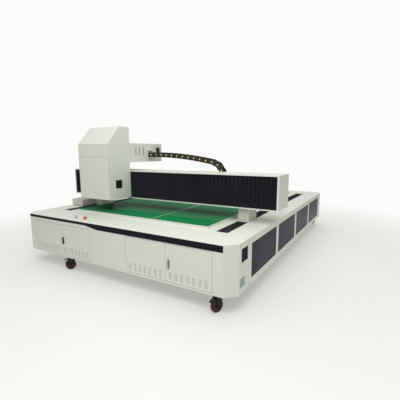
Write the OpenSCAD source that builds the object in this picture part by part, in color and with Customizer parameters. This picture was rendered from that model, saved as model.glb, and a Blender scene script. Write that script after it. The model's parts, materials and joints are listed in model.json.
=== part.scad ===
// Large gantry laser engraver for sheet glass.
// Frame: origin on the floor under the middle of the base, +X right, +Y to the back, +Z up, millimetres.

/* [Base] */
// Width of the base
base_w = 2880; // [2640:10:3200]
// Length of the base, front to back
base_l = 3930; // [3700:10:4400]
// Height of the base covers
skirt_h = 450; // [420:5:520]
// Cut across each upright corner of the base
corner_cut = 100; // [70:5:120]
// Sheet thickness of the base covers
sheet = 3; // [2:0.5:4]
// Side of the square frame tube
tube = 60; // [50:5:70]
// Distance from the outside of the covers to the frame tubes
frame_inset = 34; // [32:1:45]

/* [Deck and bed] */
// Middle of each travel slot from the side of the base
slot_in = 302; // [280:2:330]
// Width of the travel slots
slot_w = 126; // [124:1:150]
// Ends of the travel slots from the ends of the base
slot_end_in = 375; // [320:5:450]
// Deck left between the raised bed and each slot
bed_side = 112; // [40:2:240]
// Ends of the raised bed from the ends of the base
bed_end_in = 425; // [380:5:660]
// Height of the bed plate above the deck
bed_rise = 21; // [12:1:40]
// Width of the deck edge that the bed plate rests on
bed_seat = 40; // [20:5:80]
// Thickness of the green mats
mat_t = 4; // [2:0.5:8]
// Joint between the two mats, from the centre line
mat_seam_x = 248; // [-300:1:400]
// Gap left between the two mats
mat_gap = 3; // [1:0.5:8]

/* [Front doors] */
// Inner edge of each door bay, from the centre line
bay_in = 262; // [200:2:400]
// Outer edge of each door bay, from the side of the base
bay_side = 198; // [130:2:300]
// Lower edge of the bays above the lower edge of the covers
bay_low = 20; // [12:1:40]
// Height of the door bays
bay_h = 362; // [320:1:370]
// Gap round each door leaf
door_gap = 3; // [3:0.5:5]
// Depth of a door leaf
door_t = 18; // [16:1:22]
// Sheet thickness of a door leaf
door_skin = 2; // [1.5:0.5:3]
// Pivot pin diameter
pin_d = 6; // [5:0.5:8]
// Pivot axis from the hinge edge of its leaf
pivot_in = 9; // [9:0.5:12]
// Pivot axis behind the front of its leaf
pivot_back = 7; // [6:0.5:7]
// Louvre panels in a row on one leaf
vent_n = 7; // [3:1:7]
// Slits in one louvre panel
slit_n = 6; // [3:1:7]
// Width of a louvre panel
vent_w = 30; // [20:1:36]
// Edge of a leaf beside its row of louvre panels
vent_edge = 39; // [30:1:60]
// Lowest slit above the lower edge of the leaf
vent_low = 26; // [20:1:60]
// Height of a slit
slit_h = 6; // [4:0.5:8]
// Spacing of the slits
slit_pitch = 12; // [11:0.5:13]
// Latch handle length
latch_l = 84; // [60:1:110]
// Latch handle width
latch_w = 24; // [18:1:30]
// Latch spindle from the free edge of its leaf
latch_in = 36; // [30:1:60]
// Latch spindle above the lower edge of its leaf
latch_z = 170; // [150:1:200]

/* [Front stripe] */
// Depth of the narrow end of the black stripe
stripe_narrow = 32; // [20:1:40]
// Depth of the wide end of the black stripe
stripe_wide = 61; // [45:1:64]
// Where the slope of the stripe starts
stripe_step_x = -333; // [-600:1:-200]
// Length of the slope of the stripe
stripe_step_l = 189; // [60:1:300]
// Thickness of the stripe
stripe_t = 1.5; // [1:0.5:3]

/* [Side windows] */
// Length of the corner panel beside each front corner
corner_panel_l = 224; // [205:1:260]
// Number of windows on each side
win_n = 4; // [2:1:4]
// Width of the post between two windows
win_post = 83; // [70:1:120]
// Height of a window
win_h = 326; // [250:1:340]
// Lower edge of the windows above the lower edge of the covers
win_low = 63; // [40:1:80]
// Cover behind the last window
win_last = 213; // [120:1:260]
// First window behind the edge of the corner panel
win_first = 56; // [30:1:60]
// Thickness of the window panes
win_t = 4; // [3:0.5:8]
// Overlap of a pane behind its frame
win_lap = 14; // [6:1:18]

/* [Gantry] */
// Front of the beam from the front of the base
gantry_in = 833; // [760:1:1000]
// Reach of the beam past each side of the base
beam_over = 97; // [20:1:120]
// Depth of the beam
beam_d = 347; // [300:1:420]
// Height of the beam
beam_h = 360; // [340:1:420]
// Clear height between the deck and the beam
beam_clear = 153; // [120:1:220]
// Thickness of the beam end caps
cap_t = 20; // [15:1:40]
// Depth of the open front of the beam
channel_d = 110; // [105:1:130]
// Plate thickness round the open front of the beam
lip_t = 11; // [8:1:16]
// Wall of the box behind the open front
beam_wall = 10; // [6:1:14]
// Clearance between a leg and its slot on each side
leg_gap = 4; // [3:0.5:8]
// Depth of a leg
leg_d = 239; // [200:1:260]
// Leg behind the front of the beam
leg_back = 67; // [40:1:90]
// Depth of the running rails below the deck
rail_drop = 230; // [210:2:250]
// Width of the running rails
rail_w = 23; // [20:1:28]
// Height of the running rails
rail_h = 20; // [18:1:24]
// Clearance between a rail and its shoe
slide_gap = 0.3; // [0.2:0.05:0.5]
// Air gap over a magnet track
air_gap = 0.8; // [0.6:0.1:0.9]

/* [Head] */
// Middle of the head from the centre line
head_x = -686; // [-800:2:-500]
// Width of the head
head_w = 531; // [480:1:600]
// Depth of the head
head_d = 363; // [330:1:400]
// Height of the head
head_h = 896; // [840:2:1000]
// Clear height between the deck and the head
head_clear = 171; // [150:1:240]
// Height of the upright front face of the head
head_face_h = 680; // [640:2:720]
// Depth of the sloped top front of the head
head_slope = 198; // [120:1:260]
// Sheet thickness of the head
head_wall = 3; // [2:0.5:4]
// Running gap between the head and the beam
head_gap = 6; // [4:0.5:10]
// Height of the front cover
cover_h = 526; // [480:1:600]
// Depth of the front cover
cover_t = 18; // [12:1:24]
// Gap round the front cover
cover_gap = 0.8; // [0.5:0.1:0.9]
// Side of the cooling fan grille
fan_s = 100; // [92:1:110]
// Fan centre behind the front of the head
fan_back = 155; // [120:1:200]
// Fan centre above the underside of the head
fan_up = 186; // [150:1:240]

/* [Laser box] */
// Length of the laser box behind the head
box_l = 672; // [560:2:720]
// Width of the laser box
box_w = 320; // [240:2:360]
// Height of the laser box
box_h = 247; // [210:1:280]
// Underside of the laser box above the beam
box_clear = 108; // [90:1:130]
// Laser box set in from the right side of the head
box_in = 4; // [0:1:20]

/* [Drag chain] */
// Spacing of the chain pivots
chain_pitch = 87.5; // [80:0.5:95]
// Height of a chain link
chain_h = 64; // [54:1:68]
// Width of the chain
chain_w = 74; // [60:1:80]
// Thickness of a link cheek
cheek_t = 5; // [4:0.5:7]
// Links in the upper run
upper_n = 11; // [10:1:12]
// Links round the bend
bend_n = 6; // [5:1:6]
// Links in the lower run
lower_n = 4; // [3:1:5]
// Slope at the end of the sagging upper run
sag_angle = 10.5; // [6:0.5:14]
// First pivot of the chain from the laser box
chain_out = 56; // [42:1:70]
// First pivot of the chain above the underside of the laser box
chain_up = 96; // [70:1:110]

/* [Covers of pleated cloth] */
// Spacing of the pleats
pleat_pitch = 24; // [20:1:30]
// Depth of the pleats
pleat_d = 22; // [16:1:24]
// Cloth thickness
cloth_t = 2; // [1.5:0.25:3]
// Clearance at the edges of the cloth
cloth_gap = 2; // [1:0.5:3]

/* [Casters] */
// Height from the floor to the base
caster_h = 155; // [150:1:170]
// Wheel diameter
wheel_d = 120; // [110:1:122]
// Wheel width
wheel_w = 36; // [30:1:42]
// Wheel axle behind the swivel
trail = 38; // [34:1:42]
// Axle diameter
axle_d = 12; // [10:1:14]
// Swivel pin diameter
king_d = 20; // [16:1:24]
// Side of the caster top plate
plate_s = 100; // [90:1:106]
// Left front caster from the left side of the base, set in under the left doors
front_caster_in = 814; // [220:2:940]
// Left front caster from the front of the base
front_caster_end = 52; // [50:1:90]
// The other casters from the cut corners
caster_in = 60; // [50:1:120]
// The other casters from the ends of the base
caster_end = 70; // [60:1:120]
// Radial clearance of pins and axles
run_gap = 0.05; // [0.02:0.01:0.08]

/* [Controls] */
// Stop button from the centre line
stop_x = -445; // [-700:5:-300]
// Stop button behind the front of the base
stop_in = 105; // [60:1:140]
// Stop button diameter
stop_d = 40; // [32:1:44]
// Key switch from the stop button
key_step = 155; // [80:1:250]

/* [Hidden] */
$fn = 48;
eps = 0.01;
hx = base_w / 2;
hy = base_l / 2;
skirt_z = caster_h;
deck_z = skirt_z + skirt_h;
deck_low = deck_z - sheet;

// Front doors
bay_z0 = skirt_z + bay_low;
bay_z1 = bay_z0 + bay_h;
bay_out = hx - bay_side;
leaf_w = (bay_out - bay_in - 3 * door_gap) / 2;
leaf_h = bay_h - 2 * door_gap;
vent_pitch = (leaf_w - 2 * vent_edge - vent_w) / (vent_n - 1);
pin_l = 10;
pivot_block = pin_l + 8;
fold_d = door_t + 6;
spindle_d = 10;
hub_d = 34;

// Side covers
corner_y0 = corner_cut - hy;
corner_y1 = corner_y0 + corner_panel_l;
seam = 1;
win_z = skirt_z + win_low;
win_y = corner_y1 + win_first;
win_pitch = (hy - corner_cut - win_last - win_y + win_post) / win_n;
win_l = win_pitch - win_post;

// Openings of the right corner panel: the display above, the air inlet below
display_y = corner_y0 + 49;
display_l = 141;
display_up = 273;
display_z = skirt_z + display_up;
display_h = 122;
inlet_y = corner_y0 + 16;
inlet_l = 117;
inlet_up = 57;
inlet_z = skirt_z + inlet_up;
inlet_h = 82;

// Travel slots and rails
slot_x = hx - slot_in;
slot_end = hy - slot_end_in;
bed_w = 2 * (slot_x - slot_w / 2 - bed_side);
bed_l = base_l - 2 * bed_end_in;
mat_edge = 5;
gantry_y = gantry_in - hy;
leg_w = slot_w - 2 * leg_gap;
leg_y0 = gantry_y + leg_back;
leg_y1 = leg_y0 + leg_d;
leg_y = (leg_y0 + leg_y1) / 2;
rail_z = deck_z - rail_drop;
rail_beam_w = leg_w;
rail_beam_h = 100;
rail_off = 30;
track_off = -26;
track_w = 50;
track_h = 10;
rail_half = slot_end + 100;
shoe_h = rail_h + 22;
shoe_w = 52;
shoe_l = 76;
shoe_z1 = rail_z + shoe_h;
foot_t = 16;
leg_z0 = shoe_z1 + foot_t;

// Beam
beam_x = hx + beam_over;
beam_in = beam_x - cap_t;
beam_z0 = deck_z + beam_clear;
beam_z1 = beam_z0 + beam_h;
beam_y1 = gantry_y + beam_d;
box_face_y = gantry_y + channel_d;
beam_mid_z = (beam_z0 + beam_z1) / 2;
x_rail_s = 20;
x_rail_d = 18;
x_rail_in = 61;
x_rail_z = beam_h / 2 - lip_t - x_rail_in;
x_track_h = 80;
x_track_d = 8;

// Head
head_x0 = head_x - head_w / 2;
head_x1 = head_x + head_w / 2;
head_y1 = gantry_y - head_gap;
head_y0 = head_y1 - head_d;
head_z0 = deck_z + head_clear;
head_z1 = head_z0 + head_h;
fan_y = head_y0 + fan_back;
fan_z = head_z0 + fan_up;
carriage_t = 16;
carriage_y0 = box_face_y - x_rail_d - 8 - carriage_t;
carriage_h = beam_h - 2 * lip_t - 42;
z_rail_w = 30;
z_rail_d = 20;
z_rail_low = 70;
z_rail_l = 390;

// Laser box
box_z0 = beam_z1 + box_clear;
box_z1 = box_z0 + box_h;
box_x1 = head_x1 - box_in;
box_y1 = head_y1 + box_l;

// Connector on the laser box
connector_y = box_y1 - 124;
connector_s = 42;
connector_z = box_z0 + 120;
connector_h = 76;

// Drag chain
chain_y = beam_y1 + 7 + chain_w / 2;
bracket_t = 4;
bracket_l = chain_out + chain_h / 4;
bracket_side = 6;
bracket_top = 30;
chain_x0 = box_x1 + chain_out;
chain_z0 = box_z0 + chain_up;
link_n = upper_n + bend_n + lower_n;

// Heading of each link, from level at the head to level again in the tray
function heading(i) =
    i < upper_n ? -sag_angle * i / (upper_n - 1)
    : i < upper_n + bend_n
        ? -sag_angle - (180 - sag_angle) * (i - upper_n + 0.5) / bend_n
        : -180;
function pivot_x(i) = i == 0 ? chain_x0 : pivot_x(i - 1) + chain_pitch * cos(heading(i - 1));
function pivot_z(i) = i == 0 ? chain_z0 : pivot_z(i - 1) + chain_pitch * sin(heading(i - 1));
tray_z = pivot_z(link_n) - chain_h / 2 - slide_gap;
tray_t = 4;

// Casters: swivel position and heading of the wheel, one row per caster
caster_places = [
    [front_caster_in - hx, front_caster_end - hy, 205],
    [hx - corner_cut - caster_in, caster_end - hy, 250],
    [corner_cut + caster_in - hx, hy - caster_end, 160],
    [hx - corner_cut - caster_in, hy - caster_end, 35],
];
plate_t = 6;
pedal_x = trail + 12;
pedal_z = wheel_d + 11;
fork_top_z = caster_h - plate_t - 0.3;
fork_t = 6;
crown_t = 12;

white = "#e6e7e0";
black = "#1c1b20";
steel = "#8d9296";

// A box between two corners
module slab(low, high) {
    translate(low)
        cube(high - low);
}

// Outline of the base, drawn in from the outside by d
module plan(d) {
    a = hx - d;
    b = hy - d;
    c = corner_cut - d * (2 - sqrt(2));
    polygon([
        [a - c, -b], [a, c - b], [a, b - c], [a - c, b],
        [c - a, b], [-a, b - c], [-a, c - b], [c - a, -b],
    ]);
}

module ring(d, t) {
    difference() {
        plan(d);
        plan(d + t);
    }
}

// One end of the base cover: the end wall with its two cut corners
module end_wall(side) {
    intersection() {
        ring(0, sheet);
        translate([-base_w, side < 0 ? -base_l : hy - corner_cut])
            square([2 * base_w, base_l - hy + corner_cut]);
    }
}

// Square tube along X, Y or Z, given by the middle of its section
module tube_x(x0, x1, y, z) {
    slab([x0, y - tube / 2, z], [x1, y + tube / 2, z + tube]);
}

module tube_y(x, y0, y1, z) {
    slab([x - tube / 2, y0, z], [x + tube / 2, y1, z + tube]);
}

module tube_z(x, y, z0, z1) {
    slab([x - tube / 2, y - tube / 2, z0], [x + tube / 2, y + tube / 2, z1]);
}

module base_frame() {
    post_y = hy - frame_inset - tube / 2;
    post_x = hx - frame_inset - tube / 2;
    top_z = deck_low - tube;
    inner_x = slot_x - slot_w / 2 - tube / 2 - 16;
    cross_n = 4;
    color(steel) {
        for (z = [skirt_z, top_z])
            translate([0, 0, z])
                linear_extrude(tube)
                    ring(frame_inset, tube);
        for (s = [-1, 1], t = [-1, 1])
            tube_z(s * slot_x, t * post_y, skirt_z, deck_low);
        for (t = [-1, 1])
            tube_z(0, t * post_y, skirt_z, deck_low);
        for (s = [-1, 1], i = [0 : win_n])
            tube_z(s * post_x, win_y + i * win_pitch - win_post / 2, skirt_z, deck_low);
        for (s = [-1, 1]) {
            slab([s * slot_x - rail_beam_w / 2, -post_y, rail_z - rail_beam_h],
                [s * slot_x + rail_beam_w / 2, post_y, rail_z]);
            tube_y(s * inner_x, -post_y, post_y, top_z);
        }
        for (i = [0 : cross_n - 1]) {
            y = (i / (cross_n - 1) - 0.5) * (bed_l - 4 * bed_seat);
            tube_x(-inner_x, inner_x, y, top_z);
            tube_x(-post_x, post_x, y, skirt_z);
        }
        for (p = caster_places)
            translate([p.x, p.y, skirt_z])
                intersection() {
                    translate([-plate_s / 2, -plate_s / 2, 0])
                        cube([plate_s, plate_s, plate_t]);
                    translate([-p.x, -p.y, 0])
                        linear_extrude(plate_t)
                            plan(sheet + 1);
                }
    }
}

module deck() {
    tab_h = pleat_d + 14;
    color(white) {
        translate([0, 0, deck_low])
            linear_extrude(sheet)
                difference() {
                    plan(0);
                    for (s = [-1, 1])
                        translate([s * slot_x, 0])
                            square([slot_w, 2 * slot_end], center = true);
                    square([bed_w - 2 * bed_seat, bed_l - 2 * bed_seat], center = true);
                }
        // Folded tabs that hold the fixed ends of the slot bellows
        for (s = [-1, 1], t = [-1, 1])
            translate([s * slot_x, t * (slot_end + sheet / 2), deck_z - tab_h / 2])
                cube([slot_w, sheet, tab_h], center = true);
    }
}

module bed_table() {
    edge = 4;
    color(white)
        translate([0, 0, deck_z])
            difference() {
                union() {
                    translate([-bed_w / 2, -bed_l / 2, 0])
                        cube([bed_w, bed_l, bed_rise]);
                    inset = bed_seat + 1;
                    translate([inset - bed_w / 2, inset - bed_l / 2, -sheet])
                        cube([bed_w - 2 * inset, bed_l - 2 * inset, sheet + eps]);
                }
                // Bevel along the upper edges of the long sides
                for (s = [-1, 1])
                    translate([s * bed_w / 2, 0, bed_rise])
                        rotate([0, 45, 0])
                            cube([edge, bed_l + 2, edge], center = true);
            }
}

module mat(x0, x1) {
    translate([0, 0, deck_z + bed_rise])
        linear_extrude(mat_t)
            translate([x0, mat_edge - bed_l / 2])
                square([x1 - x0, bed_l - 2 * mat_edge]);
}

module mat_left() {
    color("#14803c")
        mat(mat_edge - bed_w / 2, mat_seam_x - mat_gap / 2);
}

module mat_right() {
    color("#189247")
        mat(mat_seam_x + mat_gap / 2, bed_w / 2 - mat_edge);
}

// Distance of a leaf's pivot from the centre line
function pivot_at(outer) = outer ? bay_out - door_gap - pivot_in : bay_in + door_gap + pivot_in;

module front_fascia() {
    color(white) {
        difference() {
            translate([0, 0, skirt_z])
                linear_extrude(skirt_h - sheet)
                    end_wall(-1);
            for (s = [0, 1])
                mirror([s, 0, 0])
                    slab([bay_in, -hy - 1, bay_z0], [bay_out, sheet + 1 - hy, bay_z1]);
        }
        for (s = [0, 1])
            mirror([s, 0, 0]) {
                for (z = [bay_z0 - sheet, bay_z1])
                    slab([bay_in, sheet / 2 - hy, z], [bay_out, fold_d - hy, z + sheet]);
                for (outer = [false, true], z = [bay_z0 - eps, bay_z1 - door_gap - pin_l])
                    translate([pivot_at(outer), pivot_back - hy, z])
                        cylinder(d = pin_d, h = door_gap + pin_l + eps);
            }
    }
}

module front_stripe() {
    x0 = corner_cut - hx;
    color(black)
        translate([0, -hy, deck_low])
            rotate([90, 0, 0])
                linear_extrude(stripe_t)
                    polygon([
                        [x0, 0],
                        [x0, sheet - stripe_narrow],
                        [stripe_step_x, sheet - stripe_narrow],
                        [stripe_step_x + stripe_step_l, sheet - stripe_wide],
                        [-x0, sheet - stripe_wide],
                        [-x0, 0],
                    ]);
}

// One leaf, hinge edge at x = 0, front face at y = 0
module leaf(latched) {
    vent_x0 = leaf_w / 2 - (vent_n - 1) / 2 * vent_pitch;
    difference() {
        union() {
            difference() {
                cube([leaf_w, door_t, leaf_h]);
                translate([door_skin, door_skin, door_skin])
                    cube([leaf_w - 2 * door_skin, door_t, leaf_h - 2 * door_skin]);
            }
            for (z = [0, leaf_h - pivot_block])
                translate([0, 0, z])
                    cube([2 * pivot_in, 2 * pivot_back, pivot_block]);
            if (latched)
                translate([leaf_w - latch_in, 0, latch_z])
                    rotate([-90, 0, 0])
                        cylinder(d = spindle_d + 12, h = door_t);
        }
        for (z = [-1, leaf_h - pin_l - 1])
            translate([pivot_in, pivot_back, z])
                cylinder(d = pin_d + 2 * run_gap, h = pin_l + 2);
        for (i = [0 : vent_n - 1], j = [0 : slit_n - 1])
            translate([vent_x0 + i * vent_pitch - vent_w / 2, -1, vent_low + j * slit_pitch])
                cube([vent_w, door_skin + 2, slit_h]);
        if (latched)
            translate([leaf_w - latch_in, -1, latch_z])
                rotate([-90, 0, 0])
                    cylinder(d = spindle_d + 2 * run_gap, h = door_t + 2);
    }
}

// Puts a leaf's own frame in its bay: leaves 1 and 3 hinge on the left, 2 and 4 on the right
module in_bay(k) {
    edges = [-bay_out + door_gap, -bay_in - door_gap, bay_in + door_gap, bay_out - door_gap];
    translate([edges[k - 1], -hy, bay_z0 + door_gap])
        mirror([1 - k % 2, 0, 0])
            children();
}

module door_leaf(k) {
    color(white)
        in_bay(k)
            leaf(k % 2 == 0);
}

// Turning handle with its spindle and the hub that holds it behind the leaf
module latch(k) {
    handle_t = 9;
    color(black)
        in_bay(k)
            translate([leaf_w - latch_in, 0, latch_z])
                rotate([90, 0, 0]) {
                    translate([0, 0, 0.3])
                        linear_extrude(handle_t)
                            for (s = [-1, 1])
                                hull() {
                                    circle(d = latch_w, $fn = 32);
                                    translate([0, s * (latch_l - latch_w * 0.7) / 2])
                                        circle(d = latch_w * 0.7, $fn = 32);
                                }
                    translate([0, 0, -door_t - 0.3])
                        cylinder(d = spindle_d, h = door_t + 0.6 + eps);
                    translate([0, 0, -door_t - 4.3])
                        cylinder(d = hub_d, h = 4);
                }
}

// Long side of the cover with its row of window openings
module side_frame(s) {
    color(white)
        mirror([s < 0 ? 1 : 0, 0, 0])
            difference() {
                slab([hx - sheet, corner_y1 + seam, skirt_z], [hx, hy - corner_cut, deck_low]);
                for (i = [0 : win_n - 1])
                    translate([hx - sheet - 1, win_y + i * win_pitch, win_z])
                        cube([sheet + 2, win_l, win_h]);
            }
}

module side_windows() {
    color("#3a3a44")
        for (s = [0, 1], i = [0 : win_n - 1])
            mirror([s, 0, 0])
                translate([hx - sheet - win_t, win_y + i * win_pitch - win_lap, win_z - win_lap])
                    cube([win_t, win_l + 2 * win_lap, win_h + 2 * win_lap]);
}

module corner_panels() {
    color(white)
        for (s = [-1, 1])
            mirror([s < 0 ? 1 : 0, 0, 0])
                difference() {
                    slab([hx - sheet, corner_y0, skirt_z], [hx, corner_y1, deck_low]);
                    if (s > 0) {
                        translate([hx - sheet - 1, display_y, display_z])
                            cube([sheet + 2, display_l, display_h]);
                        translate([hx - sheet - 1, inlet_y, inlet_z])
                            cube([sheet + 2, inlet_l, inlet_h]);
                    }
                }
}

module display_panel() {
    lap = 8;
    color(black)
        translate([hx - sheet - win_t, display_y - lap, display_z - lap])
            cube([win_t, display_l + 2 * lap, display_h + 2 * lap]);
}

module vent_grille() {
    lap = 8;
    bars = 7;
    pitch = inlet_h / bars;
    color("#b9beb8")
        difference() {
            union() {
                translate([hx - sheet - win_t, inlet_y - lap, inlet_z - lap])
                    cube([win_t, inlet_l + 2 * lap, inlet_h + 2 * lap]);
                translate([hx - sheet - eps, inlet_y + 0.5, inlet_z + 0.5])
                    cube([sheet - 1, inlet_l - 1, inlet_h - 1]);
            }
            for (i = [0 : bars - 1])
                translate([hx - sheet - win_t - 1, inlet_y + 8, inlet_z + (i + 0.25) * pitch])
                    cube([sheet + win_t + 2, inlet_l - 16, pitch / 2]);
        }
}

module rear_panel() {
    rows = 6;
    columns = 7;
    color(white)
        difference() {
            translate([0, 0, skirt_z])
                linear_extrude(skirt_h - sheet)
                    end_wall(1);
            for (s = [-1, 1], i = [0 : columns - 1], j = [0 : rows - 1])
                translate([s * (bay_in + bay_out) / 2 + (i - (columns - 1) / 2) * vent_pitch - vent_w / 2,
                    hy - sheet - 1, bay_z0 + vent_low + j * slit_pitch])
                    cube([vent_w, sheet + 2, slit_h]);
        }
}

module stop_collar() {
    color("#c9b23a")
        translate([stop_x, stop_in - hy, deck_z])
            difference() {
                cylinder(d = stop_d + 4, h = 12);
                translate([0, 0, 2])
                    cylinder(d = stop_d / 2 + 2 * run_gap, h = 11);
            }
}

module stop_button() {
    color("#c0272d")
        translate([stop_x, stop_in - hy, deck_z])
            rotate_extrude()
                polygon([
                    [0, 8.5], [stop_d / 4, 8.5], [stop_d / 4, 18], [stop_d / 2 - 3, 18],
                    [stop_d / 2, 21], [stop_d / 2, 27], [stop_d / 2 - 4, 31], [0, 32.5],
                ]);
}

module key_switch() {
    color("#9a9d9c")
        translate([stop_x - key_step, stop_in - hy, deck_z])
            difference() {
                union() {
                    cylinder(d = 34, h = 4);
                    cylinder(d = 26, h = 14);
                }
                translate([0, 0, 3])
                    cylinder(d = 16 + 2 * run_gap, h = 12);
            }
}

module key() {
    color(steel)
        translate([stop_x - key_step, stop_in - hy, deck_z]) {
            translate([0, 0, 4])
                cylinder(d = 16, h = 11);
            translate([-9, -1.5, 15 - eps])
                cube([18, 3, 6]);
            translate([0, 1.5, 28])
                rotate([90, 0, 0])
                    difference() {
                        cylinder(d = 22, h = 3);
                        translate([0, 4, -1])
                            cylinder(d = 6, h = 5);
                    }
        }
}

module y_rails() {
    color(steel)
        for (s = [0, 1])
            mirror([s, 0, 0])
                slab([slot_x + rail_off - rail_w / 2, -rail_half, rail_z],
                    [slot_x + rail_off + rail_w / 2, rail_half, rail_z + rail_h]);
}

module y_magnet_tracks() {
    color("#55585c")
        for (s = [0, 1])
            mirror([s, 0, 0])
                slab([slot_x + track_off - track_w / 2, -rail_half, rail_z],
                    [slot_x + track_off + track_w / 2, rail_half, rail_z + track_h]);
}

// Shoes on the rail, the motor coil over the magnet track and the foot plate, one set per leg
module y_carriages() {
    coil_w = track_w - 6;
    color("#73787c")
        for (s = [0, 1])
            mirror([s, 0, 0]) {
                for (t = [-1, 1])
                    translate([slot_x + rail_off, leg_y + t * (leg_d - shoe_l) / 2, 0])
                        difference() {
                            slab([-shoe_w / 2, -shoe_l / 2, rail_z + 4],
                                [shoe_w / 2, shoe_l / 2, shoe_z1 + eps]);
                            slab([-rail_w / 2 - slide_gap, -shoe_l, rail_z],
                                [rail_w / 2 + slide_gap, shoe_l, rail_z + rail_h + slide_gap]);
                        }
                slab([slot_x + track_off - coil_w / 2, leg_y0 + 10, rail_z + track_h + air_gap],
                    [slot_x + track_off + coil_w / 2, leg_y1 - 10, shoe_z1 + eps]);
                slab([slot_x - leg_w / 2, leg_y0, shoe_z1], [slot_x + leg_w / 2, leg_y1, leg_z0]);
            }
}

// Pleated cloth of a given length along X, folded to and fro in Y
module pleats(length, width) {
    n = max(2, round(length / pleat_pitch));
    step = length / n;
    peak = [for (i = [0 : n]) [i * step, i % 2 == 0 ? 0 : -pleat_d]];
    under = [for (i = [n : -1 : 0]) [i * step, (i % 2 == 0 ? 0 : -pleat_d) - cloth_t]];
    linear_extrude(width)
        polygon(concat(peak, under));
}

module slot_pleats(y0, y1) {
    width = slot_w - 2 * cloth_gap;
    color(black)
        for (s = [-1, 1])
            translate([s * slot_x + width / 2, y0, deck_z - 6])
                rotate([90, 0, 90])
                    mirror([0, 0, 1])
                        pleats(y1 - y0, width);
}

module slot_bellows_front() {
    slot_pleats(-slot_end, leg_y0);
}

module slot_bellows_rear() {
    slot_pleats(leg_y1, slot_end);
}

module beam_pleats(x0, x1) {
    width = beam_h - 2 * lip_t - 2 * cloth_gap;
    color(black)
        translate([x0, gantry_y + 3, beam_z0 + lip_t + cloth_gap])
            mirror([0, 1, 0])
                pleats(x1 - x0, width);
}

module beam_bellows_left() {
    beam_pleats(-beam_in, head_x0);
}

module beam_bellows_right() {
    beam_pleats(head_x1, beam_in);
}

module gantry_beam() {
    color(white)
        translate([-beam_in, 0, 0])
            rotate([90, 0, 90])
                linear_extrude(2 * beam_in)
                    difference() {
                        translate([gantry_y, beam_z0])
                            square([beam_d, beam_h]);
                        translate([gantry_y - 1, beam_z0 + lip_t])
                            square([channel_d + 1, beam_h - 2 * lip_t]);
                        translate([box_face_y + beam_wall, beam_z0 + beam_wall])
                            square([beam_d - channel_d - 2 * beam_wall, beam_h - 2 * beam_wall]);
                    }
}

// Folded pans that close the ends of the beam
module beam_caps() {
    wall = 6;
    color(white)
        for (s = [0, 1])
            mirror([s, 0, 0])
                difference() {
                    slab([beam_in, gantry_y, beam_z0], [beam_x, beam_y1, beam_z1]);
                    slab([beam_in - 1, gantry_y + channel_d + wall, beam_z0 + wall],
                        [beam_x - wall, beam_y1 - wall, beam_z1 - wall]);
                    // Bevel on the outer front edge
                    translate([beam_x, gantry_y, beam_mid_z])
                        rotate([0, 0, 45])
                            cube([6, 6, beam_h + 2], center = true);
                }
}

module gantry_legs() {
    wall = 8;
    color(white)
        for (s = [0, 1])
            mirror([s, 0, 0])
                translate([slot_x, leg_y, 0])
                    difference() {
                        slab([-leg_w / 2, -leg_d / 2, leg_z0], [leg_w / 2, leg_d / 2, beam_z0]);
                        slab([wall - leg_w / 2, wall - leg_d / 2, leg_z0 + wall],
                            [leg_w / 2 - wall, leg_d / 2 - wall, beam_z0 + 1]);
                    }
}

// Low box on the outside of the left leg that takes the cables down to the base
module cable_box() {
    lift = 7;
    height = 85;
    ahead = 225;
    corner = 18;
    edge_in = 4;
    color("#d5d0c8")
        translate([edge_in - hx, leg_y0 - ahead, deck_z + lift])
            linear_extrude(height)
                union() {
                    translate([corner, 0])
                        square([slot_in - edge_in - leg_w / 2 - corner, ahead + leg_d]);
                    translate([0, corner])
                        square([corner + eps, ahead + leg_d - 2 * corner]);
                    for (y = [corner, ahead + leg_d - corner])
                        translate([corner, y])
                            circle(r = corner);
                }
}

module x_rails() {
    color(steel)
        for (s = [-1, 1])
            translate([-beam_in, box_face_y - x_rail_d, beam_mid_z + s * x_rail_z - x_rail_s / 2])
                cube([2 * beam_in, x_rail_d, x_rail_s]);
}

module x_magnet_track() {
    color("#55585c")
        translate([-beam_in, box_face_y - x_track_d, beam_mid_z - x_track_h / 2])
            cube([2 * beam_in, x_track_d, x_track_h]);
}

// Plate on four shoes with the motor coil, and the open frame that carries the head
module x_carriage() {
    block_l = 80;
    block_s = 44;
    block_y1 = box_face_y - 4;
    coil_l = 300;
    coil_h = x_track_h - 8;
    frame_wall = 14;
    half_h = carriage_h / 2;
    color("#7d8286") {
        slab([head_x0, carriage_y0, beam_mid_z - half_h],
            [head_x1, carriage_y0 + carriage_t, beam_mid_z + half_h]);
        for (s = [-1, 1], t = [-1, 1])
            translate([head_x + t * (head_w - block_l - 20) / 2, 0, beam_mid_z + s * x_rail_z])
                difference() {
                    slab([-block_l / 2, carriage_y0 + carriage_t - eps, -block_s / 2],
                        [block_l / 2, block_y1, block_s / 2]);
                    slab([-block_l, box_face_y - x_rail_d - slide_gap, -x_rail_s / 2 - slide_gap],
                        [block_l, box_face_y, x_rail_s / 2 + slide_gap]);
                }
        slab([head_x - coil_l / 2, carriage_y0 + carriage_t - eps, beam_mid_z - coil_h / 2],
            [head_x + coil_l / 2, box_face_y - x_track_d - air_gap, beam_mid_z + coil_h / 2]);
        difference() {
            slab([head_x0, head_y1, beam_mid_z - half_h], [head_x1, carriage_y0 + eps, beam_mid_z + half_h]);
            slab([head_x0 + frame_wall, head_y1 - 1, beam_mid_z - half_h + frame_wall],
                [head_x1 - frame_wall, carriage_y0, beam_mid_z + half_h - frame_wall]);
        }
    }
}

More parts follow.
